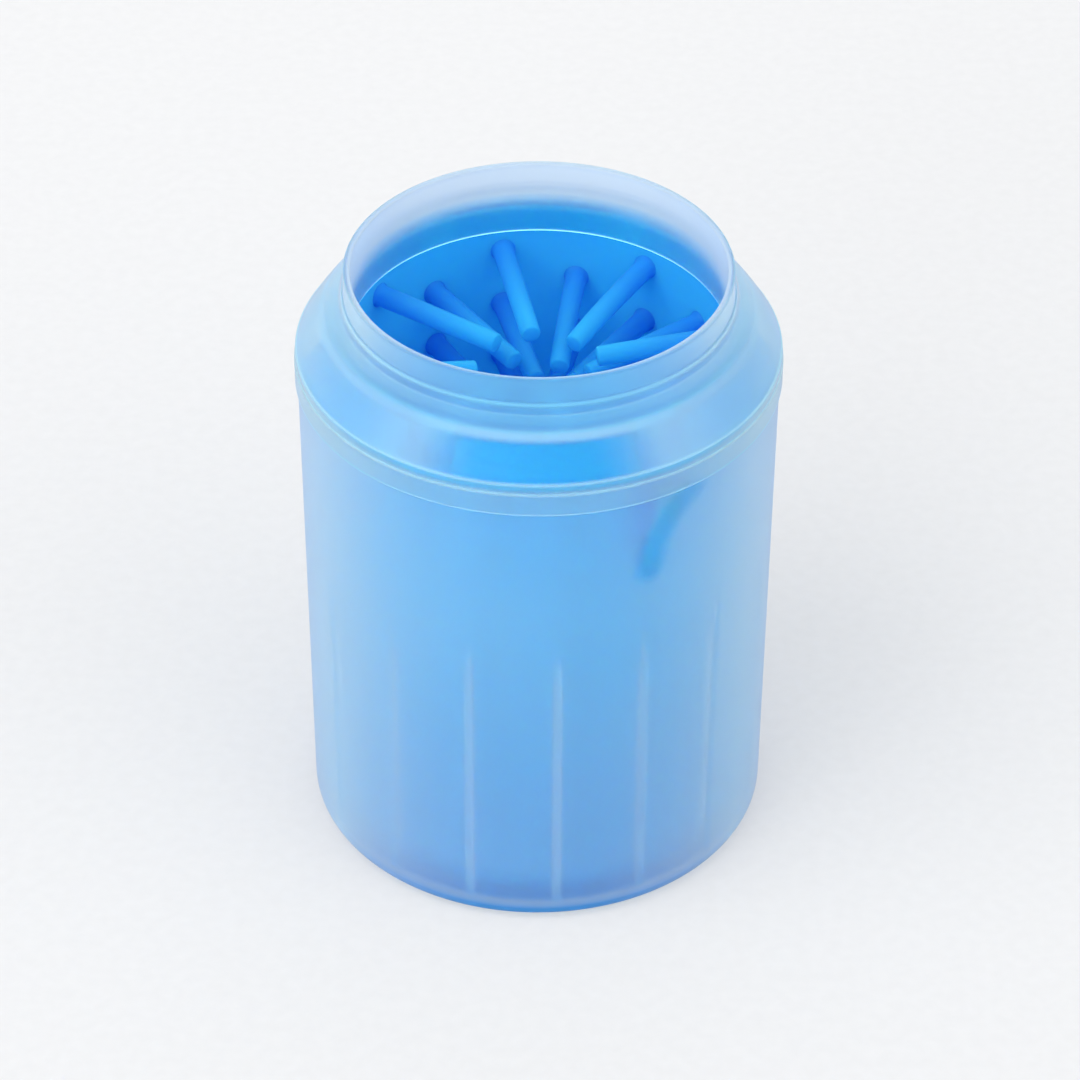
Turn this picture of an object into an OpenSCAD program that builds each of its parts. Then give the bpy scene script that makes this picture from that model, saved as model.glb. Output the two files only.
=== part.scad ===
// Paw washer cup: a frosted cup, a frosted push-on collar with a drinking-cup
// style mouth, and a soft bristle sleeve that hangs between the two.
// Millimetres, +Z up, origin at the centre of the base on the table plane.
// -Y is the front. Profiles are drawn as [radius, height].

/* [Cup] */
// Height from the table to the top of the mouth, with the collar on
total_h = 140; // [130:1:160]
// Outer radius of the cup just below the collar
cup_r = 51.8; // [50.5:0.1:55]
// How much smaller the radius is at the base than at the collar
cup_taper = 1.1; // [0:0.1:2]
// Thickness of the cup wall
cup_wall = 1.7; // [1.5:0.1:2.2]
// Radius of the rounded bottom edge
base_round = 4.8; // [3.5:0.1:8]
// Thickness of the floor
floor_t = 2.4; // [2:0.1:4]
// Depth of the shallow hollow under the base
base_hollow = 0.8; // [0.4:0.1:1.2]
// Width of the flat ring that the cup stands on
stand_ring_w = 3.5; // [2:0.1:6]

/* [Cup ribs] */
// Number of upright ribs on the inside of the cup
rib_count = 16; // [8:1:24]
// How far a rib stands in from the cup wall at its foot
rib_depth = 1.5; // [0.8:0.1:2]
// Width of a rib
rib_w = 1.3; // [0.8:0.1:2]
// Height of the top of the ribs above the table
rib_top = 76; // [40:1:90]
// Turn of the first rib from the front, to the right
rib_turn = 5.1; // [0:0.1:22]

/* [Collar] */
// Height of the collar from the lower edge of its band to the mouth
collar_h = 26.7; // [25:0.1:29]
// Outer radius of the mouth
mouth_r = 41.5; // [40:0.1:43]
// Thickness of the neck and of the inner skirt
neck_wall = 1.4; // [1.2:0.1:1.8]
// Height of the straight neck above the shoulder
neck_h = 6.2; // [5:0.1:7]
// Depth of the inner skirt's lower edge below the mouth
skirt_drop = 17.8; // [15.5:0.1:18.5]
// Radius of curvature of the domed shoulder
shoulder_curve = 55; // [50:1:90]
// Thickness of the shoulder
shoulder_t = 1.5; // [1.2:0.1:1.8]
// How far the upper ring, below the shoulder, stands out past the cup wall
ring_proud = 0.35; // [0.2:0.05:0.6]
// Height of the upper ring
ring_h = 2.4; // [2:0.1:3.2]
// How far the band around the cup rim stands out past the cup wall
band_proud = 0.6; // [0.4:0.05:0.8]
// Depth of the groove between the upper ring and the band
groove = 0.25; // [0.1:0.05:0.3]
// Radial clearance between the collar band and the cup rim
rim_clear = 0.08; // [0.05:0.01:0.1]

/* [Bristle sleeve] */
// Thickness of the sleeve wall
sleeve_t = 1.7; // [1.2:0.1:2]
// Gap between the sleeve and the parts around it
soft_gap = 0.15; // [0.1:0.05:0.25]
// Gap between the sleeve's open lower end and the floor of the cup
sleeve_gap = 0.8; // [0.5:0.1:4]
// Depth of the folded-over top edge below the mouth
fold_drop = 10.9; // [10:0.1:12]
// Thickness of the fold that lies under the shoulder
fold_t = 1.4; // [1.1:0.1:1.7]
// Number of lobes that the fold is cut into
lobe_count = 6; // [3:1:8]
// Angle of the gap between two lobes
lobe_gap = 15; // [8:1:24]
// Width of the pull tab
tab_w = 6.5; // [4:0.5:9]
// Length of the pull tab
tab_len = 20; // [12:1:24]

/* [Bristles] */
// Bristles in each row
row_count = 8; // [6:1:10]
// Number of rows, as far as the sleeve is long enough for them
rows = 15; // [6:1:15]
// Distance between two rows
row_pitch = 7; // [6:0.1:7]
// Radius of a bristle where it leaves the wall
bristle_root_r = 2.45; // [1.8:0.05:2.6]
// Radius of a bristle at its tip
bristle_tip_r = 2.15; // [1.4:0.05:2.3]
// Radius of the open space left between the bristle tips
core_r = 13; // [11:0.5:24]

/* [Hidden] */
$fn = 128;

milky = [0.80, 0.88, 0.96];
blue = [0.16, 0.56, 0.93];

front = -90;          // direction of -Y
far_r = 70;           // beyond every part
lobe_turn = -88;      // direction that the lobe gaps are counted from
tab_turn = -55;       // direction of the pull tab, front right
tab_tilt = 14;
bristle_turn = 101;   // direction of the first bristle in the top row

// heights
band_z = total_h - collar_h;          // lower edge of the collar band
ring_z1 = band_z + 7.7;               // top of the upper ring
ring_z0 = ring_z1 - ring_h;           // underside of the upper ring
rim_z = ring_z0;                      // top of the cup rim
ledge_z = ring_z1 - 1;                // ledge inside the collar, over the cup rim
neck_z = total_h - neck_h;            // foot of the neck
skirt_z = total_h - skirt_drop;       // lower edge of the inner skirt
fold_z = total_h - fold_drop;         // top edge of the sleeve
tube_z = fold_z - 1.2;                // top of the sleeve's tube wall
sleeve_low = floor_t + sleeve_gap;    // open lower end of the sleeve
foot_top_z = ledge_z - soft_gap;      // top of the fold's flat foot
first_row_z = skirt_z - 5.6;          // axis of the top row of bristles
last_row_rise = 5;                    // least height of a row above the sleeve's end
// rows that fit between the collar's skirt and the sleeve's lower end
rows_used = min(rows, 1 + floor((first_row_z - sleeve_low - last_row_rise) / row_pitch));

// radii
base_r = cup_r - cup_taper;
base_in_r = base_r - cup_wall;
rim_in_r = cup_r - cup_wall;
rim_out_r = cup_r - 0.65;
band_in_r = rim_out_r + rim_clear;
band_r = cup_r + band_proud;
ring_r = cup_r + ring_proud;
shoulder_r = cup_r + 0.05;
skirt_out_r = mouth_r + 0.35;
neck_foot_r = mouth_r + 0.7;          // outside of the bead at the foot of the neck
sleeve_in_r = skirt_out_r + soft_gap;
sleeve_out_r = sleeve_in_r + sleeve_t;
fold_out_r = band_in_r - soft_gap;

// centre of the arc between two points, bulging away from the axis
function arc_centre(low, high, radius) =
    let (
        chord = high - low,
        length = norm(chord),
        outward = [chord[1], -chord[0]] / length
    )
    (low + high) / 2 - outward * sqrt(radius * radius - length * length / 4);

shoulder_centre = arc_centre([shoulder_r, ring_z1], [neck_foot_r - 0.1, neck_z], shoulder_curve);

// radius of the shoulder's inner face at a height
function shoulder_in(z) =
    shoulder_centre[0] + sqrt(pow(shoulder_curve - shoulder_t, 2) - pow(z - shoulder_centre[1], 2));

// radius of the cup's inner wall at a height
function cup_in(z) = base_r + cup_taper * z / band_z - cup_wall;

/* ---------- helpers ---------- */

// rectangle between two heights and two radii
module band_of_heights(z0, z1, r0 = 0, r1 = far_r) {
    translate([r0, z0]) square([r1 - r0, z1 - z0]);
}

module disc(centre, radius) {
    translate(centre) circle(r = radius);
}

// disc about the shoulder's centre that ends a depth inside its outer face
module shoulder_disc(depth) {
    translate(shoulder_centre) circle(r = shoulder_curve - depth, $fn = 360);
}

// evenly spaced copies about the axis, the first at a given angle
module around(count, first) {
    for (i = [0 : count - 1])
        rotate([0, 0, first + i * 360 / count]) children();
}

/* ---------- cup ---------- */

module cup_outside() {
    step_z = band_z - 0.1;   // step in to the rim, just below the band
    bevel = 0.4;
    union() {
        polygon([
            [0, 0], [base_r - base_round, 0], [base_r, base_round],
            [cup_r, step_z - 0.25], [cup_r - 0.25, step_z],
            [rim_out_r, step_z], [rim_out_r, rim_z - bevel],
            [rim_out_r - bevel, rim_z], [0, rim_z]
        ]);
        disc([base_r - base_round, base_round], base_round);
    }
}

module cup_inside() {
    corner = base_round - 1.3;
    bevel = 0.3;
    over = 0.1;   // the cut runs past the rim
    union() {
        polygon([
            [0, floor_t], [base_in_r - corner, floor_t], [base_in_r, floor_t + corner],
            [rim_in_r, band_z - 1], [rim_in_r, rim_z - bevel],
            [rim_in_r + bevel, rim_z + over], [0, rim_z + over]
        ]);
        disc([base_in_r - corner, floor_t + corner], corner);
    }
}

// hollow under the base, with a sloping edge
module base_hollow_profile() {
    ring_in_r = base_r - base_round - stand_ring_w;
    polygon([
        [0, -1], [ring_in_r + 0.3, -1],
        [ring_in_r - 0.8, base_hollow], [0, base_hollow]
    ]);
}

rib_sink = 0.5;   // overlap of a rib with the floor and the wall

module cup_rib() {
    face_r = base_in_r - rib_depth;
    foot_z = floor_t - rib_sink;
    lean = 0.25;    // the face's lean, and the rib's depth at its top
    slope_h = 14;   // the face slopes out over this height, at the top
    rotate([90, 0, 0]) translate([0, 0, -rib_w / 2]) linear_extrude(height = rib_w)
        polygon([
            [face_r, foot_z], [base_in_r + rib_sink, foot_z + base_round],
            [cup_in(rib_top) + rib_sink, rib_top], [cup_in(rib_top) - lean, rib_top],
            [face_r + lean, rib_top - slope_h]
        ]);
}

module cup() {
    color(milky) union() {
        rotate_extrude() difference() {
            cup_outside();
            cup_inside();
            base_hollow_profile();
        }
        // ribs, kept inside the cup's outer face
        intersection() {
            around(rib_count, front + rib_turn) cup_rib();
            rotate_extrude() difference() {
                cup_outside();
                band_of_heights(-1, floor_t - rib_sink);
            }
        }
    }
}

/* ---------- collar ---------- */

// neck and inner skirt, with a rounded bead at the mouth, at the skirt's
// lower edge and at the foot of the neck
module neck_profile() {
    lip = neck_wall / 2 + 0.08;
    foot_bead = 0.55;
    polygon([
        [skirt_out_r - neck_wall, skirt_z + lip], [skirt_out_r, skirt_z + lip],
        [skirt_out_r, neck_z - 1.2], [mouth_r + 0.1, neck_z - 0.4],
        [mouth_r, total_h - lip], [mouth_r - neck_wall, total_h - lip]
    ]);
    disc([mouth_r - neck_wall / 2, total_h - lip], lip);
    disc([skirt_out_r - neck_wall / 2, skirt_z + lip], lip);
    disc([neck_foot_r - foot_bead, neck_z + 0.15], foot_bead);
}

module shoulder_profile() {
    intersection() {
        difference() {
            shoulder_disc(0);
            shoulder_disc(shoulder_t);
        }
        band_of_heights(ring_z1 - 0.3, neck_z, mouth_r - 0.5);
    }
}

// band that closes over the cup rim, groove, and upper ring
module band_profile() {
    bevel = 0.35;
    polygon([
        [band_in_r, band_z + 0.3], [band_in_r + 0.2, band_z], [band_r - 0.25, band_z],
        [band_r, band_z + 0.4], [band_r, ring_z0 - bevel], [ring_r - groove, ring_z0],
        [ring_r, ring_z0 + bevel], [ring_r, ring_z1 - bevel], [shoulder_r, ring_z1],
        [shoulder_in(ring_z1) + 0.1, ring_z1], [band_in_r, ledge_z]
    ]);
}

module collar() {
    color(milky) rotate_extrude() union() {
        neck_profile();
        shoulder_profile();
        band_profile();
    }
}

/* ---------- bristle sleeve ---------- */

// straight wall with rounded ends
module sleeve_tube_profile() {
    end_r = sleeve_t / 2;
    union() {
        band_of_heights(sleeve_low + end_r, tube_z - end_r, sleeve_in_r, sleeve_out_r);
        for (z = [sleeve_low + end_r, tube_z - end_r])
            disc([sleeve_in_r + end_r, z], end_r);
    }
}

// the top of the sleeve curls outwards and lies under the collar's shoulder
module fold_profile() {
    top_depth = shoulder_t + 2 * soft_gap;
    low = rim_z + soft_gap + 0.5;
    curl_h = 3;
    difference() {
        intersection() {
            shoulder_disc(top_depth);
            polygon([
                [sleeve_in_r + 0.4, low], [fold_out_r, low], [fold_out_r, fold_z],
                [sleeve_out_r + 0.8, fold_z], [sleeve_in_r + 0.6, fold_z - 1.9]
            ]);
        }
        // below the curl only the thin fold is left
        intersection() {
            shoulder_disc(top_depth + fold_t);
            band_of_heights(0, fold_z - curl_h);
        }
    }
}

// flat foot of the fold, between the cup rim and the collar's ledge
module foot_profile() {
    band_of_heights(rim_z + soft_gap, foot_top_z, rim_in_r - 1.3, fold_out_r);
}

module lobe_cuts() {
    reach = 60;
    half_w = reach * tan(lobe_gap / 2);
    around(lobe_count, lobe_turn + 180 / lobe_count)
        // starts below the foot's top, so that the gaps end flush with it
        translate([0, 0, foot_top_z - 0.3])
            linear_extrude(height = fold_z - ring_z1 - 1.1)
                polygon([[0, 0], [reach, -half_w], [reach, half_w]]);
}

// tongue outline along +X, with a round end
module tab_outline() {
    straight = tab_len - tab_w / 2;
    union() {
        translate([straight, 0]) circle(d = tab_w);
        translate([0, -tab_w / 2]) square([straight, tab_w]);
    }
}

// a tilted tongue that hangs from the sleeve, curved along the cup wall
module pull_tab() {
    outer_r = cup_in(total_h - 50) - 0.35;
    tab_t = 1.6;
    top_z = rim_z - 5.5;
    web_w = 2.4;
    web_h = 7;
    web_in_r = sleeve_out_r - 0.5;
    rotate([0, 0, tab_turn]) {
        intersection() {
            rotate_extrude()
                band_of_heights(top_z - tab_len - 2, top_z + 4, outer_r - tab_t, outer_r);
            translate([0, 0, top_z]) rotate([-tab_tilt, 0, 0]) rotate([0, 90, 0])
                linear_extrude(height = 60) tab_outline();
        }
        // web that joins the tongue to the sleeve
        translate([web_in_r, -web_w / 2, top_z - 2 - web_h])
            cube([outer_r - tab_t / 2 - web_in_r, web_w, web_h]);
    }
}

module bristle_sleeve() {
    color(blue) union() {
        rotate_extrude() sleeve_tube_profile();
        difference() {
            rotate_extrude() fold_profile();
            lobe_cuts();
        }
        rotate_extrude() foot_profile();
        pull_tab();
    }
}

/* ---------- bristles ---------- */

// one bristle along +X, from its tip to its root inside the sleeve wall
module bristle() {
    root = sleeve_in_r + 0.9;
    rotate([0, 90, 0]) translate([0, 0, core_r])
        cylinder(h = root - core_r, r1 = bristle_tip_r, r2 = bristle_root_r, $fn = 48);
}

// every other row is turned by half a step
module bristles() {
    color(blue)
        for (k = [0 : rows_used - 1])
            translate([0, 0, first_row_z - k * row_pitch])
                around(row_count, bristle_turn + (k % 2) * 180 / row_count) bristle();
}

cup();
collar();
bristle_sleeve();
bristles();
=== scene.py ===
"""Paw washer cup: a frosted cup and collar around a blue silicone sleeve with bristles.

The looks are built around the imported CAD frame. The axis is Z, the cup stands on z = 0
and the front is -Y. Blender works in metres; profiles and sizes here are in millimetres
unless a comment says otherwise.
"""

import math
import random

import bmesh
import bpy
import numpy as np
from mathutils import Matrix, Vector


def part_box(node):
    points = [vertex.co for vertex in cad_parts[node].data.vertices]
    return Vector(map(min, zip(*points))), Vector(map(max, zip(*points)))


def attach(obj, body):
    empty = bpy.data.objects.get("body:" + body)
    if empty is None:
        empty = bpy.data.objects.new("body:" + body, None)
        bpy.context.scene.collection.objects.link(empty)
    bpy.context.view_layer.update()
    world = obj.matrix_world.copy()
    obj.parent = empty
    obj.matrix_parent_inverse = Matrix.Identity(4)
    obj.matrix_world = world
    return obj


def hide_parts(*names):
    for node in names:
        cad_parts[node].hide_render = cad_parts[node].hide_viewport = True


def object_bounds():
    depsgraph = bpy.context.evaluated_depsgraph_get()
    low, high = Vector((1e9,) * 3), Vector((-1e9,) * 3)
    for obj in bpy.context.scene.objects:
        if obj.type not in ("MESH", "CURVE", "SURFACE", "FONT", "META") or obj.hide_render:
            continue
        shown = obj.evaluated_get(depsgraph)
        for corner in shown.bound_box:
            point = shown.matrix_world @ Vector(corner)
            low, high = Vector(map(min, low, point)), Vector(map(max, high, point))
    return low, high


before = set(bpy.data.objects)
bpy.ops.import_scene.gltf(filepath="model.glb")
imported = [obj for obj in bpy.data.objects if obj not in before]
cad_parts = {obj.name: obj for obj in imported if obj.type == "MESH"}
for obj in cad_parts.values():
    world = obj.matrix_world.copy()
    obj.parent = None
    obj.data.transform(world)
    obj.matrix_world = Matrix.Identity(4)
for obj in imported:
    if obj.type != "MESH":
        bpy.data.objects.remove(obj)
cad_low, cad_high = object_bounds()

MM = 0.001
TOP_Z = cad_high[2] / MM
rng = random.Random(7)

# ---------------------------------------------------------------- sizes

# cup
CUP_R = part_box("cup")[1].x / MM  # just below the collar
RIM_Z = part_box("cup")[1].z / MM
BASE_R = CUP_R - 1.1
CUP_WALL = 1.7
CUP_IN_BASE_R = BASE_R - CUP_WALL
CUP_IN_TOP_R = CUP_R - CUP_WALL
CUP_FLOOR_Z = 2.4
RIBS = 16
RIB_TURN = math.radians(-90 + 5.1)
RIB_FADE_Z = 62  # the ribs start to sink into the wall
RIB_END_Z = RIB_FADE_Z + 14
RIB_BASE_R = 47.5
RIB_FADE_R = RIB_BASE_R + 0.25

# collar: a band over the cup, a ring, an arched shoulder, a neck and an inner skirt
BAND_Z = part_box("collar")[0].z / MM
BAND_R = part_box("collar")[1].x / MM
MOUTH_R = 41.5
SKIRT_OUT_R = MOUTH_R + 0.35
SKIRT_Z = TOP_Z - 17.8
NECK_Z = TOP_Z - 6.2
RING_LOW_Z = RIM_Z
RING_TOP_Z = BAND_Z + 7.7
SHOULDER_R = 55.0  # of the arc itself

# sleeve
SLEEVE_IN_R = SKIRT_OUT_R + 0.15
SLEEVE_OUT_R = SLEEVE_IN_R + 1.7
SLEEVE_LOW_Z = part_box("bristle_sleeve")[0].z / MM
FOLD_Z = TOP_Z - 10.9
TUBE_TOP_Z = FOLD_Z - 1.2
SLEEVE_SEGMENTS = 240
LOBES = 6
LOBE_PITCH, LOBE_GAP, LOBE_TURN = 60, 13, -88  # degrees

# pull tab
TAB_TURN = math.radians(-55)
TAB_LEAN = math.radians(14)
TAB_TOP_Z = RIM_Z - 5.5
TAB_LENGTH, TAB_WIDTH = 20.0, 6.5
TAB_OUT_R = CUP_IN_BASE_R + (CUP_IN_TOP_R - CUP_IN_BASE_R) * (TOP_Z - 50) / BAND_Z - 0.35

# bristles
ROWS, PER_ROW, ROW_PITCH = 15, 8, 7.0
TOP_ROW_Z = SKIRT_Z - 5.6
BRISTLE_TURN = 101  # degrees, of the first bristle in the top row
BRISTLE_START_R = SLEEVE_IN_R + 0.5
BRISTLE_END_R = 13.0
ROD_ROOT_R, ROD_TIP_R = 2.42, 2.18
# top bristles that lie in known ways: (row, index) -> droop and sideways turn
# in degrees, and length change in mm
POSED = {
    (0, 0): (5.8, 1.5, 0.3), (0, 1): (1.5, 0.3, 2.0), (0, 6): (3.0, -0.5, 0.2),
    (0, 7): (7.8, 0.5, 0.2), (1, 0): (2.0, 2.2, 1.8), (1, 1): (3.0, -1.0, 0.0),
    (1, 6): (5.0, -0.5, 0.0), (1, 7): (7.0, 3.9, 1.0), (2, 0): (2.0, 3.5, 0.0),
}

# ---------------------------------------------------------------- mesh helpers


def fillet(corners, closed=True, step=12.0):
    """[(r, z, radius)] -> [(r, z)], each corner rounded by an arc in steps of some degrees."""
    outline = []
    count = len(corners)
    for i, (x, y, radius) in enumerate(corners):
        if (not closed and i in (0, count - 1)) or radius <= 0:
            outline.append((x, y))
            continue
        corner = np.array((x, y), float)
        back = np.array(corners[i - 1][:2], float) - corner
        ahead = np.array(corners[(i + 1) % count][:2], float) - corner
        back_len, ahead_len = np.linalg.norm(back), np.linalg.norm(ahead)
        back, ahead = back / back_len, ahead / ahead_len
        angle = math.acos(max(-1.0, min(1.0, float(back @ ahead))))
        if angle > math.pi - 1e-3:
            outline.append((x, y))
            continue
        # a fillet may use up at most half of each neighbouring edge
        setback = min(radius / math.tan(angle / 2), back_len * 0.49, ahead_len * 0.49)
        radius = setback * math.tan(angle / 2)
        middle = (back + ahead) / np.linalg.norm(back + ahead)
        centre = corner + middle * (radius / math.sin(angle / 2))
        start = math.atan2(*(corner + back * setback - centre)[::-1])
        end = math.atan2(*(corner + ahead * setback - centre)[::-1])
        sweep = (end - start + math.pi) % (2 * math.pi) - math.pi
        steps = max(3, int(abs(math.degrees(sweep)) / step) + 1)
        for j in range(steps + 1):
            t = start + sweep * j / steps
            outline.append((centre[0] + radius * math.cos(t), centre[1] + radius * math.sin(t)))
    return outline


def refine(points, closed, longest):
    """Adds points on long straight runs, so that shading and bending stay smooth."""
    finer = []
    count = len(points)
    for i in range(count if closed else count - 1):
        start, end = np.array(points[i]), np.array(points[(i + 1) % count])
        steps = max(1, int(math.ceil(np.linalg.norm(end - start) / longest)))
        for j in range(steps):
            finer.append(tuple(start + (end - start) * j / steps))
    if not closed:
        finer.append(tuple(points[-1]))
    return finer


def new_object(name, bm):
    mesh = bpy.data.meshes.new(name)
    bmesh.ops.recalc_face_normals(bm, faces=bm.faces)
    bm.to_mesh(mesh)
    bm.free()
    for face in mesh.polygons:
        face.use_smooth = True
    ob = bpy.data.objects.new(name, mesh)
    bpy.context.scene.collection.objects.link(ob)
    return ob


def even(count):
    """Evenly spaced angles around the circle."""
    return [2 * math.pi * i / count for i in range(count)]


def polar(r, theta, z):
    """A point in metres, from millimetres and radians."""
    return (r * MM * math.cos(theta), r * MM * math.sin(theta), z * MM)


def bridge(bm, ring_a, ring_b):
    """Joins two rings of equal count with quads."""
    count = len(ring_a)
    for i in range(count):
        j = (i + 1) % count
        bm.faces.new((ring_a[i], ring_a[j], ring_b[j], ring_b[i]))


def revolve(bm, profile, thetas, closed=True, radius=None):
    """Turns the profile about Z. radius(r, z, theta) may change the radius."""
    radius = radius or (lambda r, z, theta: r)
    rings = []
    for r, z in profile:
        if r < 1e-6:
            rings.append([bm.verts.new((0, 0, z * MM))])
        else:
            rings.append([bm.verts.new(polar(radius(r, z, t), t, z)) for t in thetas])
    count = len(thetas)
    for i in range(len(rings) if closed else len(rings) - 1):
        low, high = rings[i], rings[(i + 1) % len(rings)]
        if len(low) > 1 and len(high) > 1:
            bridge(bm, low, high)
            continue
        for j in range(count):
            k = (j + 1) % count
            if len(low) == 1:
                bm.faces.new((low[0], high[j], high[k]))
            else:
                bm.faces.new((low[j], low[k], high[0]))


def skin_slab(bm, grid, cols, rows):
    """Faces of a slab with vertices grid[side, column, row]: both sides and all four edges."""

    def face(*keys):
        bm.faces.new([grid[key] for key in keys])

    for u in range(cols):
        for v in range(rows):
            face((0, u, v), (0, u + 1, v), (0, u + 1, v + 1), (0, u, v + 1))
            face((1, u, v + 1), (1, u + 1, v + 1), (1, u + 1, v), (1, u, v))
    for v in range(rows):
        face((0, 0, v + 1), (1, 0, v + 1), (1, 0, v), (0, 0, v))
        face((0, cols, v), (1, cols, v), (1, cols, v + 1), (0, cols, v + 1))
    for u in range(cols):
        face((0, u + 1, 0), (0, u, 0), (1, u, 0), (1, u + 1, 0))
        face((0, u, rows), (0, u + 1, rows), (1, u + 1, rows), (1, u, rows))


def quarter_round(f):
    """Height of a quarter circle, from 0 at f = 0 to 1 at f = 1."""
    return math.sqrt(max(0.0, 1 - (1 - f) ** 2))


# ---------------------------------------------------------------- cup


def rib_face(z):
    """Radius of the rib faces at a height."""
    if z <= RIB_FADE_Z:
        return RIB_BASE_R + (RIB_FADE_R - RIB_BASE_R) * z / RIB_FADE_Z
    wall = CUP_IN_BASE_R + (CUP_IN_TOP_R - CUP_IN_BASE_R) * z / BAND_Z
    f = min(1.0, (z - RIB_FADE_Z) / (RIB_END_Z - RIB_FADE_Z))
    f = f * f * (3 - 2 * f)
    return RIB_FADE_R + (wall + 0.05 - RIB_FADE_R) * f


def rib_heights():
    """{theta: share of the full rib height}, in order around the cup."""
    # degrees from the middle of a rib, share of its height
    section = [
        (-1.5, 0), (-1.12, 0), (-0.92, 0.45), (-0.66, 1), (0, 1),
        (0.66, 1), (0.92, 0.45), (1.12, 0), (1.5, 0),
    ]
    heights = {}
    for i in range(RIBS):
        middle = RIB_TURN + math.radians(360 / RIBS) * i
        for offset, share in section:
            heights[middle + math.radians(offset)] = share
        for j in range(1, 13):  # plain wall up to the next rib
            heights[middle + math.radians(1.5 + 19.5 * j / 13)] = 0.0
    return heights


def make_cup():
    step_r = CUP_R - 0.65  # the wall steps in under the collar
    # r, z, corner radius: under the floor, up the outside, over the rim, down the inside
    corners = [
        (0, 0.8, 0), (41.6, 0.8, 0.5), (42.1, 0.0, 0.3), (BASE_R, 0.0, 4.8),
        (CUP_R, BAND_Z - 0.2, 0.35), (step_r, BAND_Z - 0.1, 0.15), (step_r, RIM_Z, 0.4),
        (CUP_IN_TOP_R + 0.02, RIM_Z, 0.35), (CUP_IN_TOP_R - 0.02, BAND_Z - 1, 2.0),
        (CUP_IN_BASE_R, CUP_FLOOR_Z, 3.5), (0, CUP_FLOOR_Z, 0),
    ]
    profile = refine(fillet(corners, closed=False, step=7.5), False, 4.0)
    top = max(range(len(profile)), key=lambda i: profile[i][1])
    inner = set(profile[top:])
    ribs = rib_heights()

    def radius(r, z, theta):
        if (r, z) in inner and CUP_FLOOR_Z <= z < RIB_END_Z:
            return r - max(0.0, r - rib_face(z)) * ribs[theta]
        return r

    bm = bmesh.new()
    revolve(bm, profile, list(ribs), closed=False, radius=radius)
    return new_object("cup_shell", bm)


# ---------------------------------------------------------------- collar


def shoulder_centre():
    """(r, z) of the centre of the shoulder's arc, from its two ends and its radius."""
    foot = np.array((CUP_R + 0.05, RING_TOP_Z))
    head = np.array((MOUTH_R + 0.6, NECK_Z))
    chord = head - foot
    length = float(np.linalg.norm(chord))
    normal = np.array((chord[1], -chord[0])) / length
    return (foot + head) / 2 - normal * math.sqrt(SHOULDER_R**2 - length * length / 4)


SHOULDER_CENTRE = shoulder_centre()


def shoulder(depth, z):
    """Radius, at a height, of the face that lies depth inside the shoulder's outer face."""
    rise = z - SHOULDER_CENTRE[1]
    return float(SHOULDER_CENTRE[0] + math.sqrt((SHOULDER_R - depth) ** 2 - rise**2))


def make_collar():
    band_in = CUP_R - 0.57
    ring = CUP_R + 0.35
    foot = MOUTH_R + 0.7
    under = np.linspace(NECK_Z - 1.9, RING_TOP_Z - 0.05, 12)
    over = np.linspace(RING_TOP_Z + 0.3, NECK_Z - 0.05, 16)
    # r, z, corner radius
    corners = [
        # up the outside of the skirt, then down the inside of the shoulder
        (SKIRT_OUT_R - 1.4, SKIRT_Z, 0.68), (SKIRT_OUT_R + 0.02, SKIRT_Z, 0.68),
        (SKIRT_OUT_R, under[0], 0.5),
        *[(shoulder(1.5, z), z, 0) for z in under[1:-1]],
        (shoulder(1.5, under[-1]), under[-1], 0.3),
        # round the band and up over the ring
        (band_in, RING_TOP_Z - 1, 0.3), (band_in, BAND_Z, 0.18), (BAND_R, BAND_Z, 0.38),
        (BAND_R, RING_LOW_Z - 0.3, 0.28), (ring - 0.28, RING_LOW_Z, 0.14),
        (ring, RING_LOW_Z + 0.32, 0.28), (ring, RING_TOP_Z - 0.12, 0.38),
        (CUP_R + 0.03, RING_TOP_Z + 0.05, 0.18),
        *[(shoulder(0, z), z, 0) for z in over],
        # neck, and the lip of the mouth
        (foot + 0.02, NECK_Z + 0.05, 0.35), (foot - 0.25, NECK_Z + 0.7, 0.35),
        (MOUTH_R + 0.12, NECK_Z + 0.85, 0.3), (MOUTH_R, TOP_Z - 1.3, 0),
        (MOUTH_R + 0.06, TOP_Z - 0.8, 0.3), (MOUTH_R + 0.06, TOP_Z, 0.74),
        (MOUTH_R - 1.46, TOP_Z, 0.74), (MOUTH_R - 1.46, TOP_Z - 0.8, 0.3),
        (MOUTH_R - 1.4, TOP_Z - 1.3, 0),
    ]
    bm = bmesh.new()
    revolve(bm, refine(fillet(corners), True, 2.5), even(320))
    return new_object("collar_shell", bm)


# ---------------------------------------------------------------- sleeve


def wobble(theta, z):
    """The small unevenness of a soft moulded tube."""
    slow = 0.10 * math.sin(3 * theta + z * 0.045 + 0.7)
    return slow + 0.06 * math.sin(7 * theta - z * 0.08 + 2.1)


def add_tube(bm):
    corners = [
        (SLEEVE_IN_R, SLEEVE_LOW_Z, 0.8), (SLEEVE_OUT_R, SLEEVE_LOW_Z, 0.8),
        (SLEEVE_OUT_R, TUBE_TOP_Z, 0.8), (SLEEVE_IN_R, TUBE_TOP_Z, 0.8),
    ]

    def radius(r, z, theta):
        # the tube stays true where it meets the collar
        share = max(0.0, min(1.0, (TOP_Z - 30 - z) / 25))
        return r + wobble(theta, z) * share

    revolve(bm, refine(fillet(corners), True, 3.0), even(SLEEVE_SEGMENTS), radius=radius)


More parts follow.
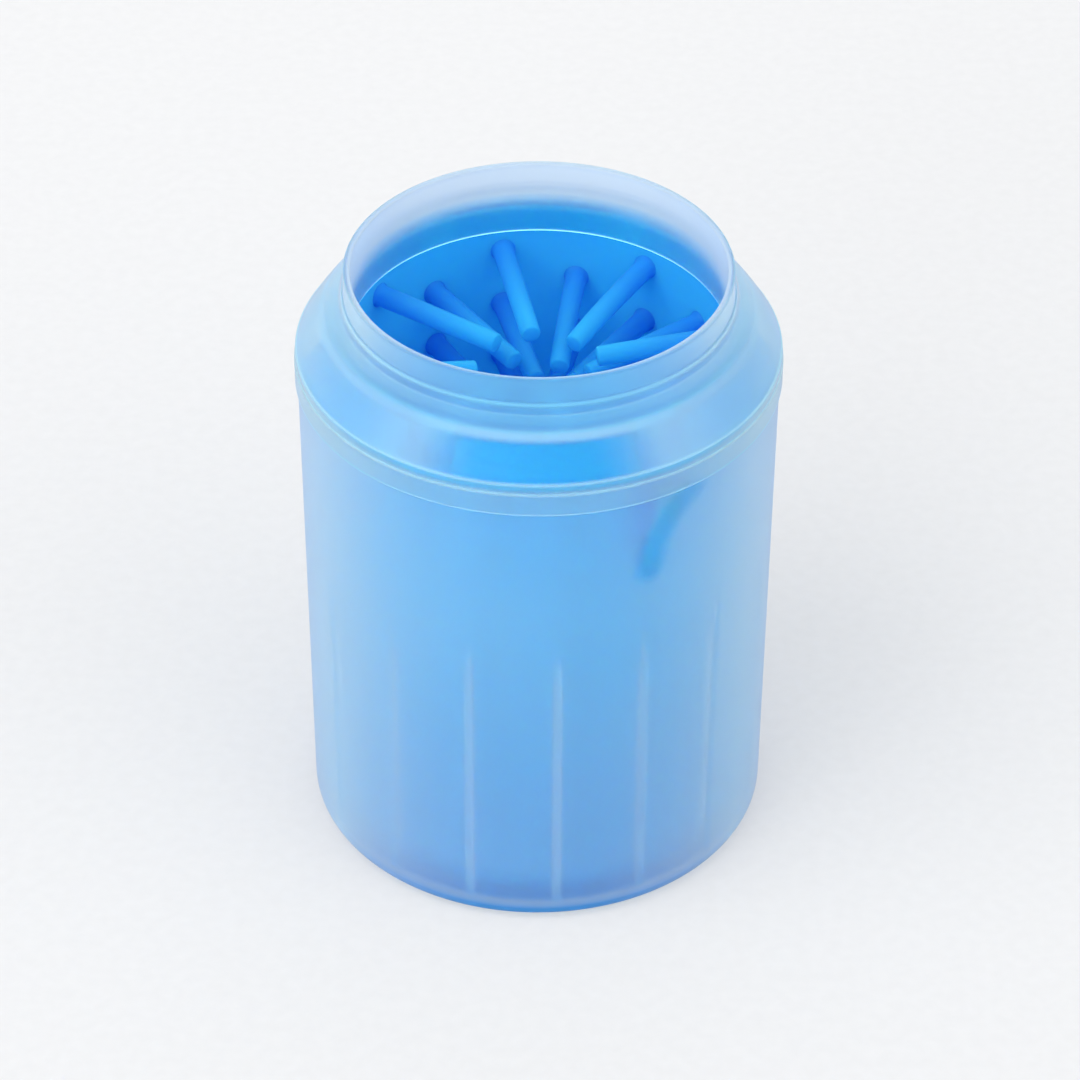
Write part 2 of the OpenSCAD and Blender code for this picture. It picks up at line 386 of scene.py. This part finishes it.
def add_curl(bm):
    """The rounded edge where the tube turns over into the fold."""
    low, top = FOLD_Z - 2.8, FOLD_Z - 0.3
    corners = [(SLEEVE_IN_R + 0.45, low, 0.2), (shoulder(3.1, low), low, 0.3)]
    for z in np.linspace(low + 0.5, top, 6):
        corners.append((shoulder(1.85, z), z, 0.3 if z == top else 0))
    corners.append((shoulder(1.85, top) - 0.5, top - 0.05, 0.4))
    corners.append((SLEEVE_IN_R + 0.7, FOLD_Z - 1.7, 0.5))
    revolve(bm, fillet(corners), even(SLEEVE_SEGMENTS))


def add_foot(bm):
    """The ring at the lower edge of the fold, just above the cup's rim."""
    low, top = RIM_Z + 0.15, RING_TOP_Z - 1.15
    inner, outer = CUP_R - 3, CUP_R - 0.72
    corners = [(inner, low, 0.3), (outer, low, 0.3), (outer, top, 0.4), (inner, top, 0.4)]
    revolve(bm, fillet(corners), even(SLEEVE_SEGMENTS))


def add_lobes(bm):
    """The six lobes of the folded-over top edge, each a curved, rounded tongue."""
    half = math.radians(LOBE_PITCH - LOBE_GAP) / 2
    cols, rows = 26, 16
    low, top = RING_TOP_Z - 1.3, FOLD_Z - 0.9
    for i in range(LOBES):
        middle = math.radians(LOBE_TURN + LOBE_PITCH * i)
        grid = {}
        # side, depth below the shoulder's outer face, direction in which the edges thin
        for side, depth, inward in ((0, 1.8, 1), (1, 3.2, -1)):
            for u in range(cols + 1):
                for v in range(rows + 1):
                    across = 2 * u / cols - 1
                    up = v / rows
                    # the lobes widen towards the top
                    width = half * (1 + 0.16 * max(0.0, up - 0.55) ** 1.5)
                    z = low + (top - low) * up
                    edge = min(1.0, (1 - abs(across)) / 0.06)
                    thin = 0.7 * (1 - quarter_round(edge))
                    r = max(shoulder(depth + inward * thin, z), SLEEVE_IN_R + 0.5)
                    grid[side, u, v] = bm.verts.new(polar(r, middle + across * width, z))
        skin_slab(bm, grid, cols, rows)


def add_tab_tongue(bm):
    """A rounded tongue that hangs beside the cup wall."""
    rows, cols = 26, 10
    half = TAB_WIDTH / 2
    grid = {}
    for side, outward in ((0, 1), (1, -1)):
        for row in range(rows + 1):
            down_tab = TAB_LENGTH * row / rows
            w = half
            if down_tab > TAB_LENGTH - half:
                w = math.sqrt(max(0.02, half * half - (down_tab - TAB_LENGTH + half) ** 2))
            if down_tab < 2.5:
                w += 1.2 * (1 - down_tab / 2.5) ** 2
            for col in range(cols + 1):
                across = 2 * col / cols - 1
                x = w * across
                along = x * math.cos(TAB_LEAN) - down_tab * math.sin(TAB_LEAN)
                down = down_tab * math.cos(TAB_LEAN) + x * math.sin(TAB_LEAN)
                edge = min(1.0, (1 - abs(across)) * w / 0.7)
                if down_tab > TAB_LENGTH - 0.8:
                    edge = min(edge, max(0.0, (TAB_LENGTH - down_tab) / 0.8))
                r = TAB_OUT_R - 0.8 + outward * 0.78 * quarter_round(edge)
                point = polar(r, TAB_TURN + along / r, TAB_TOP_Z - down)
                grid[side, col, row] = bm.verts.new(point)
    skin_slab(bm, grid, cols, rows)


def add_tab_web(bm):
    """The web from the tongue back to the sleeve, flared at both ends."""
    outward = Vector((math.cos(TAB_TURN), math.sin(TAB_TURN), 0))
    sideways = Vector((-math.sin(TAB_TURN), math.cos(TAB_TURN), 0))
    steps = 8
    sections = []
    for i in range(steps + 1):
        f = i / steps
        r = SLEEVE_OUT_R - 0.5 + (TAB_OUT_R - 1.0 - SLEEVE_OUT_R + 0.5) * f
        flare = 1 + 0.7 * (2 * f - 1) ** 4
        low, top = TAB_TOP_Z - 9.0 - 0.9 * (flare - 1), TAB_TOP_Z - 2.0
        half = 1.15 * flare
        # share of the half width, height
        outline = [
            (-1, low + 0.5), (-0.5, low), (0.5, low), (1, low + 0.5),
            (1, top - 0.5), (0.5, top), (-0.5, top), (-1, top - 0.5),
        ]
        sections.append([
            bm.verts.new(outward * r * MM + sideways * share * half * MM + Vector((0, 0, z * MM)))
            for share, z in outline
        ])
    for near, far in zip(sections[:-1], sections[1:]):
        bridge(bm, near, far)
    bm.faces.new(list(reversed(sections[0])))
    bm.faces.new(sections[-1])


def make_sleeve():
    bm = bmesh.new()
    for add_piece in (add_tube, add_curl, add_foot, add_lobes, add_tab_tongue, add_tab_web):
        add_piece(bm)
    return new_object("bristle_sleeve_soft", bm)


# ---------------------------------------------------------------- bristles

SPANS = 14  # along the rod, between its finely divided ends
STATIONS = [
    0, 0.012, 0.03, 0.055, 0.1, *[0.1 + 0.88 * i / SPANS for i in range(1, SPANS)],
    0.985, 0.996, 1.0,
]


def rod_radius(s, length):
    """Radius of a bristle at a share s of its length."""
    r = ROD_ROOT_R + (ROD_TIP_R - ROD_ROOT_R) * s
    r += 0.9 * max(0.0, 1 - s * length / 1.6) ** 2  # moulded fillet at the wall
    if s > 0.98:
        f = (s - 0.98) / 0.02
        r -= 0.38 * (1 - math.sqrt(max(0.0, 1 - f * f)))
    return r


def add_bristle(bm, tip_layer, turn, z, droop, yaw, extra):
    """One rod from the sleeve wall towards the axis; angles in radians."""
    around = 20
    outward = Vector((math.cos(turn), math.sin(turn), 0))
    side = Vector((math.sin(turn), -math.cos(turn), 0))
    up = Vector((0, 0, 1))
    root = outward * BRISTLE_START_R
    root.z = z
    length = BRISTLE_START_R - BRISTLE_END_R + extra
    previous = None
    for s in STATIONS:
        # the bend grows along the rod, as it does under its own weight
        dip, swing = droop * (0.55 + 0.45 * s), yaw * (0.6 + 0.4 * s)
        level = -outward * math.cos(dip) * math.cos(swing) + side * math.sin(swing)
        direction = (level - up * math.sin(dip)).normalized()
        centre = root + direction * (length * s)
        r = rod_radius(s, length)
        across = direction.cross(up).normalized()
        upright = across.cross(direction).normalized()
        ring = []
        for t in even(around):
            offset = across * (r * math.cos(t)) + upright * (r * math.sin(t))
            vert = bm.verts.new((centre + offset) * MM)
            vert[tip_layer] = s
            ring.append(vert)
        if previous:
            bridge(bm, previous, ring)
        else:
            bm.faces.new(list(reversed(ring)))
        previous = ring
    cap = bm.verts.new((centre + direction * 0.12) * MM)
    cap[tip_layer] = 1.0
    for i in range(around):
        bm.faces.new([previous[i], previous[(i + 1) % around], cap])


def make_bristles():
    bm = bmesh.new()
    tip_layer = bm.verts.layers.float.new("tipness")
    for row in range(ROWS):
        for i in range(PER_ROW):
            # every second row is turned by half a pitch
            turn = math.radians(BRISTLE_TURN + (i + (row % 2) / 2) * 360 / PER_ROW)
            drawn = (rng.gauss(2.0, 1.6), rng.gauss(0, 1.8), rng.uniform(-0.6, 0.6))
            droop, yaw, extra = POSED.get((row, i), drawn)
            z = TOP_ROW_Z - row * ROW_PITCH
            add_bristle(bm, tip_layer, turn, z, math.radians(droop), math.radians(yaw), extra)
    return new_object("bristles_soft", bm)


# ---------------------------------------------------------------- material helpers


def feed(socket, value):
    """Links an output socket to an input, or sets the input to a plain value."""
    if isinstance(value, bpy.types.NodeSocket):
        socket.id_data.links.new(value, socket)
    else:
        socket.default_value = value


class Nodes:
    """A material's node tree. Its methods add nodes and return output sockets."""

    def __init__(self, name):
        self.material = bpy.data.materials.new(name)
        self.material.use_nodes = True
        self.tree = self.material.node_tree
        self.tree.nodes.clear()
        self.surface = self.tree.nodes.new("ShaderNodeOutputMaterial").inputs["Surface"]
        self.coord = self.add("ShaderNodeTexCoord", output="Object")

    def add(self, kind, *inputs, output=0, **values):
        """Adds a node. Inputs go in by position; values are inputs or settings by name."""
        node = self.tree.nodes.new(kind)
        for key, value in values.items():
            if key in node.inputs:
                feed(node.inputs[key], value)
            else:
                setattr(node, key, value)
        for i, value in enumerate(inputs):
            feed(node.inputs[i], value)
        return node.outputs[output]

    def finish(self, shader):
        feed(self.surface, shader)
        return self.material

    def math(self, operation, *values):
        return self.add("ShaderNodeMath", *values, operation=operation)

    def chain(self, operation, first, *others):
        """first, operation, second, operation, third and so on."""
        for value in others:
            first = self.math(operation, first, value)
        return first

    def product(self, *values):
        return self.chain("MULTIPLY", *values)

    def total(self, *values):
        return self.chain("ADD", *values)

    def dot(self, a, b):
        """Dot product of two pairs."""
        return self.math("MULTIPLY_ADD", a[0], b[0], self.product(a[1], b[1]))

    def length(self, pair):
        return self.math("SQRT", self.dot(pair, pair))

    def vector(self, operation, *values, **more):
        return self.add("ShaderNodeVectorMath", *values, operation=operation, **more)

    def split(self, vector):
        return self.add("ShaderNodeSeparateXYZ", vector).node.outputs[:]

    def remap(self, value, from_min, from_max, to_min, to_max, kind="LINEAR"):
        limits = (from_min, from_max, to_min, to_max)
        return self.add("ShaderNodeMapRange", value, *limits, interpolation_type=kind)

    def smooth(self, value, *limits):
        return self.remap(value, *limits, kind="SMOOTHSTEP")

    def noise(self, vector, **values):
        return self.add("ShaderNodeTexNoise", output="Fac", Vector=vector, **values)

    def grain(self, distance, **noise):
        """A fine bump; distance in metres."""
        height = self.noise(self.coord, **noise)
        return self.add("ShaderNodeBump", Strength=0.1, Distance=distance, Height=height)

    def ramp(self, value, stops):
        """Colour by value; stops = [(position, colour)]."""
        colour = self.add("ShaderNodeValToRGB", output="Color", Fac=value)
        elements = colour.node.color_ramp.elements
        while len(elements) < len(stops):
            elements.new(0.5)
        for element, (position, stop) in zip(elements, stops):
            element.position = position
            element.color = (*stop, 1)
        return colour

    def tinted(self, colour, mask, tint):
        """The colour, replaced by the tint where the mask is 1."""
        mixed = self.add("ShaderNodeMix", mask, output=2, data_type="RGBA")
        feed(mixed.node.inputs[6], colour)
        feed(mixed.node.inputs[7], (*tint, 1))
        return mixed

    def mix_shaders(self, share, first, second):
        return self.add("ShaderNodeMixShader", share, first, second)


class Place:
    """Masks by place, in the object's own millimetres, for use inside a material."""

    def __init__(self, nodes):
        self.nodes = nodes
        self.point = nodes.vector("SCALE", nodes.coord, Scale=1000.0)
        self.x, self.y, self.z = nodes.split(self.point)
        self.r = nodes.length((self.y, self.x))

    def ring(self, r, z, width, strength):
        """strength on a circle about the axis, fading to 0 at a distance of width."""
        nodes = self.nodes
        offset = (nodes.math("SUBTRACT", self.r, r), nodes.math("SUBTRACT", self.z, z))
        return nodes.smooth(nodes.length(offset), 0.0, width, strength, 0.0)

    def height(self, z0, z1, at_z0=0.0, at_z1=1.0):
        return self.nodes.smooth(self.z, z0, z1, at_z0, at_z1)

    def outside(self, r0, r1):
        """0 at radius r0, 1 at radius r1."""
        return self.nodes.smooth(self.r, r0, r1, 0.0, 1.0)

    def sector(self, degrees, half, soft, strength=1.0):
        """strength within half degrees of a direction, fading over soft degrees."""
        nodes, t = self.nodes, math.radians(degrees)
        cosine = nodes.dot((self.x, self.y), (math.cos(t), math.sin(t)))
        cosine = nodes.math("DIVIDE", cosine, self.r)
        low = math.cos(math.radians(half + soft / 2))
        high = math.cos(math.radians(half - soft / 2))
        return nodes.smooth(cosine, low, high, 0.0, strength)

    def fade(self, distance, width, soft):
        """1 within half the width, fading at its edge."""
        return self.nodes.smooth(distance, width / 2 - soft, width / 2 + soft, 1.0, 0.0)

    def spokes(self, count, degrees, width, soft):
        """1 on evenly spaced upright lines, width millimetres wide."""
        nodes = self.nodes
        theta = nodes.math("ARCTAN2", self.y, self.x)
        shift = 0.5 - degrees * count / 360
        turns = nodes.math("MULTIPLY_ADD", theta, count / (2 * math.pi), shift)
        offset = nodes.math("SUBTRACT", nodes.math("FRACT", turns), 0.5)
        share = nodes.math("ABSOLUTE", offset)
        return self.fade(nodes.product(share, 2 * math.pi / count, self.r), width, soft)

    def stroke(self, points, width, soft):
        """1 along a line through points, fading at its edge."""
        nodes, masks = self.nodes, []
        for start, end in zip(points[:-1], points[1:]):
            start = Vector(start)
            run = Vector(end) - start
            offset = nodes.vector("SUBTRACT", self.point, start)
            along = nodes.vector("DOT_PRODUCT", offset, run / run.length_squared, output="Value")
            along = nodes.math("MINIMUM", nodes.math("MAXIMUM", along, 0.0), 1.0)
            nearest = nodes.vector("SCALE", run, Scale=along)
            gap = nodes.vector("SUBTRACT", offset, nearest)
            distance = nodes.vector("LENGTH", gap, output="Value")
            masks.append(self.fade(distance, width, soft))
        return nodes.chain("MAXIMUM", *masks)


# ---------------------------------------------------------------- frosted plastic


def frosted(name, milk, lit_milk, lit_from, rough, share, power, edges, glows,
            extras, clearer, tints, inner=None):
    """Milky moulded polypropylene. Some light is blurred on its way through, and the rest
    meets a milky body that scatters it back and forwards.

    milk, lit_milk: the body's colour inside and outside the radius lit_from; lit_milk is painted
    light, standing in for the blue light of the silicone behind it
    share, power: how much body is seen face-on and edge-on, and how steeply it rises
    edges: rings of painted highlight, drawn as more milky body: r, z, width, strength
    glows: rings of painted glow, added as emission, standing in for light that has travelled
    inside the wall, likewise
    extras(nodes, place): more changes to the body's share
    clearer(place): a mask of places where the wall blurs less
    tints(nodes, place): (mask, colour) of painted light and shade, tinted where they face the eye
    inner(nodes, place): how much body is met where light leaves the plastic again
    """
    nodes = Nodes(name)
    place = Place(nodes)
    # melt-flow streaks and cloudiness
    stretched = nodes.add("ShaderNodeMapping", Vector=nodes.coord, Scale=(60, 60, 6))
    flow = nodes.noise(stretched, Scale=1.0, Detail=4.0, Roughness=0.55)
    cloud = nodes.noise(nodes.coord, Scale=24.0, Detail=2.0, Roughness=0.5)
    streaks = nodes.math("MULTIPLY_ADD", flow, 0.5, cloud)
    uneven = nodes.remap(streaks, 0.5, 1.0, -0.03, 0.03)

    # seen edge-on, the wall is thicker along the line of sight; the edge rings add painted
    # highlight lines as more body
    facing = nodes.add("ShaderNodeLayerWeight", output="Facing", Blend=0.5)
    steep = nodes.math("POWER", facing, power)
    body_share = nodes.total(
        nodes.remap(steep, 0.0, 1.0, *share), uneven,
        *[place.ring(*edge) for edge in edges], *extras(nodes, place),
    )
    body_share = nodes.math("MINIMUM", nodes.math("MAXIMUM", body_share, 0.02), 0.97)
    # the body counts once for each crossing of a wall, where light enters the plastic
    geometry = nodes.add("ShaderNodeNewGeometry").node.outputs
    leaving = geometry["Backfacing"]
    entering = nodes.math("SUBTRACT", 1.0, leaving)
    body_share = nodes.product(body_share, entering)
    if inner:
        body_share = nodes.total(body_share, nodes.product(leaving, inner(nodes, place)))

    bump = nodes.grain(0.0002, Scale=1500.0, Detail=2.0)
    glass = nodes.add("ShaderNodeBsdfGlass", distribution="MULTI_GGX", Roughness=rough,
                      IOR=1.22, Color=(0.96, 1.0, 1.0, 1), Normal=bump)
    feed(glass.node.inputs["Roughness"], nodes.math("SUBTRACT", rough, clearer(place)))

    # painted light: where the silicone lies behind the wall and it is seen face-on, the body is
    # painted in lit_milk
    behind = place.outside(lit_from - 0.25, lit_from + 0.25)
    lit = nodes.product(behind, nodes.math("SUBTRACT", 1.0, steep))
    colour = nodes.ramp(lit, [(0.0, milk), (1.0, lit_milk)])
    # 1 where the wall faces the eye, seen from above, 0 at its left and right edges
    eye = nodes.split(geometry["Incoming"])[:2]
    across = nodes.dot(eye, (place.x, place.y))
    reach = nodes.math("MAXIMUM", nodes.product(nodes.length(eye), place.r), 0.5)
    around = nodes.math("DIVIDE", across, reach)
    towards = nodes.product(nodes.remap(around, 0.45, 0.97, 0.0, 1.0), entering)
    # painted light and shade tints, only where the wall faces the eye
    for mask, tint in tints(nodes, place):
        colour = nodes.tinted(colour, nodes.product(mask, towards), tint)

    back = nodes.add("ShaderNodeBsdfDiffuse", Color=colour)
    fore = nodes.add("ShaderNodeBsdfTranslucent", Color=colour)
    body = nodes.mix_shaders(0.5, back, fore)
    plastic = nodes.mix_shaders(body_share, glass, body)
    gloss = nodes.add("ShaderNodeBsdfGlossy", Roughness=0.3, Normal=bump)
    fresnel = nodes.add("ShaderNodeFresnel", IOR=1.35)
    surface = nodes.mix_shaders(nodes.product(fresnel, 0.4, entering), plastic, gloss)
    # painted glow: emission on the glow rings
    if glows:
        shine = nodes.total(*[place.ring(*glow) for glow in glows])
        emission = nodes.add("ShaderNodeEmission", Color=(0.28, 0.78, 1.0, 1),
                             Strength=nodes.product(shine, entering))
        surface = nodes.add("ShaderNodeAddShader", surface, emission)
    return nodes.finish(surface)


def tab_stroke(place):
    """The pull tab, where it lies against the cup wall."""
    # degrees from the front, height
    path = [(39, 112.5), (32.5, 108.0), (28.5, 101.5), (27, 95.0)]
    points = []
    for degrees, z in path:
        t = math.radians(-90 + degrees)
        points.append((51.4 * math.cos(t), 51.4 * math.sin(t), z))
    return place.stroke(points, width=6.0, soft=2.3)


def cup_ribs(nodes, place):
    """The ribs, nearly as deep again as the wall is thick, seen through the wall."""
    lines = place.spokes(RIBS, math.degrees(RIB_TURN), width=1.7, soft=0.5)
    return nodes.product(lines, place.height(78, 60), place.outside(49.6, 49.2), 0.66)


def cup_extras(nodes, place):
    # the pull tab lies against the wall, so less of the milky body shows
    yield nodes.product(tab_stroke(place), -0.27)
    # the rounded foot is thick, and the extra body there also shows the painted blue light of the
    # foot tint
    yield place.height(12.0, 1.0, at_z1=0.30)
    yield place.height(6.0, 2.0, at_z1=0.45)
    # painted light: the front left side gets a little more milky body, so it reads lighter, as
    # lit from the left
    yield place.sector(215, half=50, soft=60, strength=0.05)


def cup_painted_shade_and_light(nodes, place):
    # painted shade: from z 90 down towards the foot the body is painted darker where it faces the
    # eye
    yield place.height(90.0, 22.0), (0.60, 0.60, 0.83)
    # painted light: the foot is painted blue where it faces the eye, standing in for the blue
    # light it passes on from the inside
    yield place.height(17.0, 1.0), (0.06, 0.38, 0.84)


# where the folded top edge of the sleeve presses on the shoulder:
# direction and half width in degrees, how hard
PRESSED = [
    (-89.5, 21.5, 1.0), (-153, 17, 0.33), (-23, 17, 0.25),
    (37, 21, 0.75), (92, 20, 0.5), (150, 22, 0.8),
]


def above_ring(place):
    return place.height(RING_TOP_Z - 0.3, RING_TOP_Z + 0.5)


def pressed_mask(place):
    nodes = place.nodes
    patches = nodes.total(*[
        place.sector(degrees, half, soft=22, strength=hard) for degrees, half, hard in PRESSED
    ])
    band = nodes.product(above_ring(place), place.height(129.0, 127.6))
    return nodes.product(patches, band, place.outside(42.5, 42.9))


def collar_extras(nodes, place):
    # the shoulder is pale, but less so where the fold presses on it
    on_shoulder = place.outside(42.5, 42.9)
    yield nodes.product(above_ring(place), place.height(131.0, 129.2), on_shoulder, 0.42)
    yield nodes.product(pressed_mask(place), -0.62)
    # the inner skirt touches the sleeve
    off_shoulder = nodes.math("SUBTRACT", 1.0, on_shoulder)
    yield nodes.product(off_shoulder, place.height(129.4, 127.2), -0.17)
    # the neck stands clear of the sleeve and shows the plastic's own colour
    yield nodes.product(place.outside(41.0, 41.3), place.height(129.6, 131.6), 0.26)
    inner_face = place.outside(41.0, 40.6)
    yield nodes.product(inner_face, place.height(128.6, 131.2, at_z1=0.30))
    yield nodes.product(inner_face, place.height(131.5, 135.5, at_z1=0.22))


def collar_painted_light(nodes, place):
    # painted light: the neck and the upper shoulder are painted cyan where they face the eye, as
    # nothing but lit silicone lies behind them
    within = nodes.math("MAXIMUM", place.outside(41.0, 41.3), 0.4)
    yield nodes.product(within, place.height(129.2, 131.0)), (0.27, 0.76, 1.0)


def cup_material():
    return frosted(
        "frosted_cup", milk=(0.65, 0.80, 0.98), lit_milk=(0.61, 0.88, 0.99), lit_from=45.0,
        rough=0.62, share=(0.195, 0.9), power=1.6,
        # a painted highlight line along the rim
        edges=[(CUP_R - 1.2, RIM_Z, 0.9, 0.25)], glows=[], extras=cup_extras,
        clearer=lambda place: place.nodes.product(tab_stroke(place), 0.2),
        tints=cup_painted_shade_and_light, inner=cup_ribs,
    )


def collar_material():
    return frosted(
        "frosted_collar", milk=(0.68, 0.83, 0.98), lit_milk=(0.60, 0.92, 0.99), lit_from=41.1,
        rough=0.52, share=(0.20, 0.9), power=3.0,
        # painted highlight lines along the skirt, lip, neck foot, ring and band edges
        edges=[
            (SKIRT_OUT_R - 1.25, SKIRT_Z + 0.2, 1.0, 0.35),
            (MOUTH_R - 1.1, TOP_Z - 0.3, 1.3, 0.15),
            (MOUTH_R + 0.6, NECK_Z + 0.3, 0.8, 0.4),
            (CUP_R + 0.2, RING_TOP_Z, 0.75, 0.45),
            (CUP_R + 0.1, RING_LOW_Z, 0.75, 0.5),
            (BAND_R - 0.1, BAND_Z + 0.1, 0.75, 0.4),
        ],
        # painted glow, as emission, along the skirt, lip, ring and band edges
        glows=[
            (SKIRT_OUT_R - 1.1, SKIRT_Z + 0.1, 0.8, 2.2),
            (MOUTH_R - 0.7, TOP_Z, 0.9, 0.05),
            (CUP_R + 0.2, RING_TOP_Z, 0.7, 0.05),
            (CUP_R + 0.1, RING_LOW_Z, 0.6, 0.07),
            (BAND_R - 0.1, BAND_Z + 0.2, 0.7, 0.14),
        ],
        extras=collar_extras,
        clearer=lambda place: place.nodes.product(pressed_mask(place), 0.08),
        tints=collar_painted_light,
    )


# ---------------------------------------------------------------- silicone and floor


def wall_colour(nodes):
    """Painted light: the outer face gets a tone for the light that reaches it through the shells,
    and reads greener than the inner one.
    """
    place = Place(nodes)
    tone = nodes.noise(nodes.coord, Scale=35.0, Detail=3.0)
    outer = nodes.total(place.outside(42.4, 43.4), nodes.remap(tone, 0.35, 0.65, -0.12, 0.12))
    colour = nodes.ramp(outer, [(0.0, (0.068, 0.64, 0.97)), (1.0, (0.012, 0.57, 0.97))])
    # painted light: it is thinnest at the fold, the tab and inside the collar's skirt, and is
    # painted brightest there, as if lit through
    above_skirt = place.height(SKIRT_Z - 0.5, SKIRT_Z + 0.3)
    colour = nodes.tinted(colour, above_skirt, (0.034, 0.68, 1.0))
    return nodes.tinted(colour, place.outside(44.4, 45.4), (0.010, 0.58, 0.98))


def bristle_colour(nodes):
    """Lighter and greener from root to tip; the darker root is painted shade where the rod meets
    the wall.
    """
    root, tip = (0.036, 0.39, 0.90), (0.046, 0.565, 0.93)
    middle = tuple((a + b) / 2 for a, b in zip(root, tip))
    tipness = nodes.add("ShaderNodeAttribute", output="Fac", attribute_name="tipness")
    along = nodes.remap(tipness, 0.05, 0.85, 0.0, 1.0)
    return nodes.ramp(along, [(0.0, root), (0.55, middle), (1.0, tip)])


def silicone(name, make_colour):
    """Soft blue silicone: slightly see-through, satin, with fine mould grain."""
    nodes = Nodes(name)
    colour = make_colour(nodes)
    skin = nodes.add("ShaderNodeBsdfPrincipled", Roughness=0.42, IOR=1.41, **{
        "Specular IOR Level": 0.12,
        "Subsurface Weight": 0.55,
        "Subsurface Radius": (0.25, 0.6, 1.0),
        "Subsurface Scale": 0.002,
        "Base Color": colour,
        "Normal": nodes.grain(0.0003, Scale=900.0, Detail=3.0),
    })
    # light from the other side glows through; the colour counts once in and once out
    deep = nodes.add("ShaderNodeGamma", Color=colour, Gamma=0.5)
    through = nodes.add("ShaderNodeBsdfTranslucent", Color=deep)
    return nodes.finish(nodes.mix_shaders(0.4, skin, through))


def floor_material():
    nodes = Nodes("floor_paper")
    weave = nodes.noise(nodes.coord, Scale=300.0, Detail=3.0)
    stops = [(0.3, (0.475, 0.472, 0.470)), (0.7, (0.495, 0.492, 0.490))]
    paper = nodes.add("ShaderNodeBsdfDiffuse", Roughness=0.9, Color=nodes.ramp(weave, stops))
    # lit from below as well, like a light table, which keeps the shadow faint
    glow = nodes.add("ShaderNodeEmission", Strength=0.34, Color=(0.98, 0.99, 1.0, 1))
    return nodes.finish(nodes.add("ShaderNodeAddShader", paper, glow))


# ---------------------------------------------------------------- build

cup = make_cup()
collar = make_collar()
sleeve = make_sleeve()
bristles = make_bristles()

frost_cup = cup_material()
frost_collar = collar_material()
blue_wall = silicone("blue_silicone_wall", wall_colour)
blue_bristle = silicone("blue_silicone_bristle", bristle_colour)

# object, CAD node it replaces, body it rides on, material, slot
for ob, node, body, material, slot in (
    (cup, "cup", "cup", frost_cup, "frosted_plastic"),
    (collar, "collar", "collar", frost_collar, "frosted_plastic"),
    (sleeve, "bristle_sleeve", "sleeve", blue_wall, "blue_silicone"),
    (bristles, "bristles", "sleeve", blue_bristle, "blue_silicone"),
):
    ob.data.materials.append(material)
    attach(ob, body)
    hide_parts(node)
    cad_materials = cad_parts[node].data.materials
    cad_materials.clear()
    cad_materials.append(material)

# ---------------------------------------------------------------- stage (metres)


def make_floor():
    bm = bmesh.new()
    bmesh.ops.create_grid(bm, x_segments=1, y_segments=1, size=3.0)
    floor = new_object("floor", bm)
    floor.data.materials.append(floor_material())


def make_world():
    world = bpy.data.worlds.new("studio")
    bpy.context.scene.world = world
    world.use_nodes = True
    background = world.node_tree.nodes["Background"]
    background.inputs["Color"].default_value = (0.96, 0.975, 1.0, 1)
    background.inputs["Strength"].default_value = 0.98


def aim(location, target):
    """Rotation that points a light or camera from location to target."""
    return (Vector(target) - Vector(location)).to_track_quat("-Z", "Y")


def area(name, location, size, power, colour, target=(0, 0, 0.07)):
    light = bpy.data.lights.new(name, "AREA")
    light.shape = "DISK"
    light.size = size
    light.energy = power
    light.color = colour
    ob = bpy.data.objects.new(name, light)
    bpy.context.scene.collection.objects.link(ob)
    ob.location = location
    ob.rotation_euler = aim(location, target).to_euler()


def make_camera():
    elevation, distance, roll = math.radians(37.317), 0.980, math.radians(0.234)
    target = Vector((0, 0, 0.070))
    data = bpy.data.cameras.new("camera")
    camera = bpy.data.objects.new("camera", data)
    bpy.context.scene.collection.objects.link(camera)
    location = target + Vector((0, -math.cos(elevation), math.sin(elevation))) * distance
    camera.location = location
    look = aim(camera.location, target).to_matrix().to_4x4()
    placed = Matrix.Translation(camera.location) @ look
    camera.matrix_world = placed @ Matrix.Rotation(roll, 4, "Z")
    data.sensor_width = 36.0
    data.lens = 147.8333333
    data.shift_x = 0.001787037
    data.shift_y = -0.009148148
    data.clip_start = 0.01
    data.clip_end = 20
    bpy.context.scene.camera = camera


def set_render():
    scene = bpy.context.scene
    scene.view_settings.view_transform = "Standard"
    scene.view_settings.look = "None"
    scene.view_settings.exposure = 0.0
    scene.view_settings.gamma = 1.0
    # light crosses many frosted walls, so paths are long
    cycles = scene.cycles
    cycles.max_bounces = 32
    cycles.diffuse_bounces = 14
    cycles.glossy_bounces = 4
    cycles.transmission_bounces = 28
    cycles.transparent_max_bounces = 16
    cycles.caustics_reflective = False
    cycles.caustics_refractive = True
    cycles.sample_clamp_indirect = 6.0
    cycles.use_denoising = True


make_floor()
make_world()
area("key", location=(-0.75, -0.45, 1.25), size=1.1, power=6.0, colour=(1.0, 0.99, 0.98))
area("fill", location=(0.9, -0.5, 0.8), size=1.2, power=2.6, colour=(0.94, 0.97, 1.0))
area("front", location=(-0.65, -1.15, 0.32), size=1.0, power=5.4, colour=(0.99, 0.995, 1.0))
area("back", location=(0.1, 1.0, 1.0), size=1.2, power=3.0, colour=(0.98, 0.99, 1.0),
     target=(0, 0, 0.10))
make_camera()
set_render()
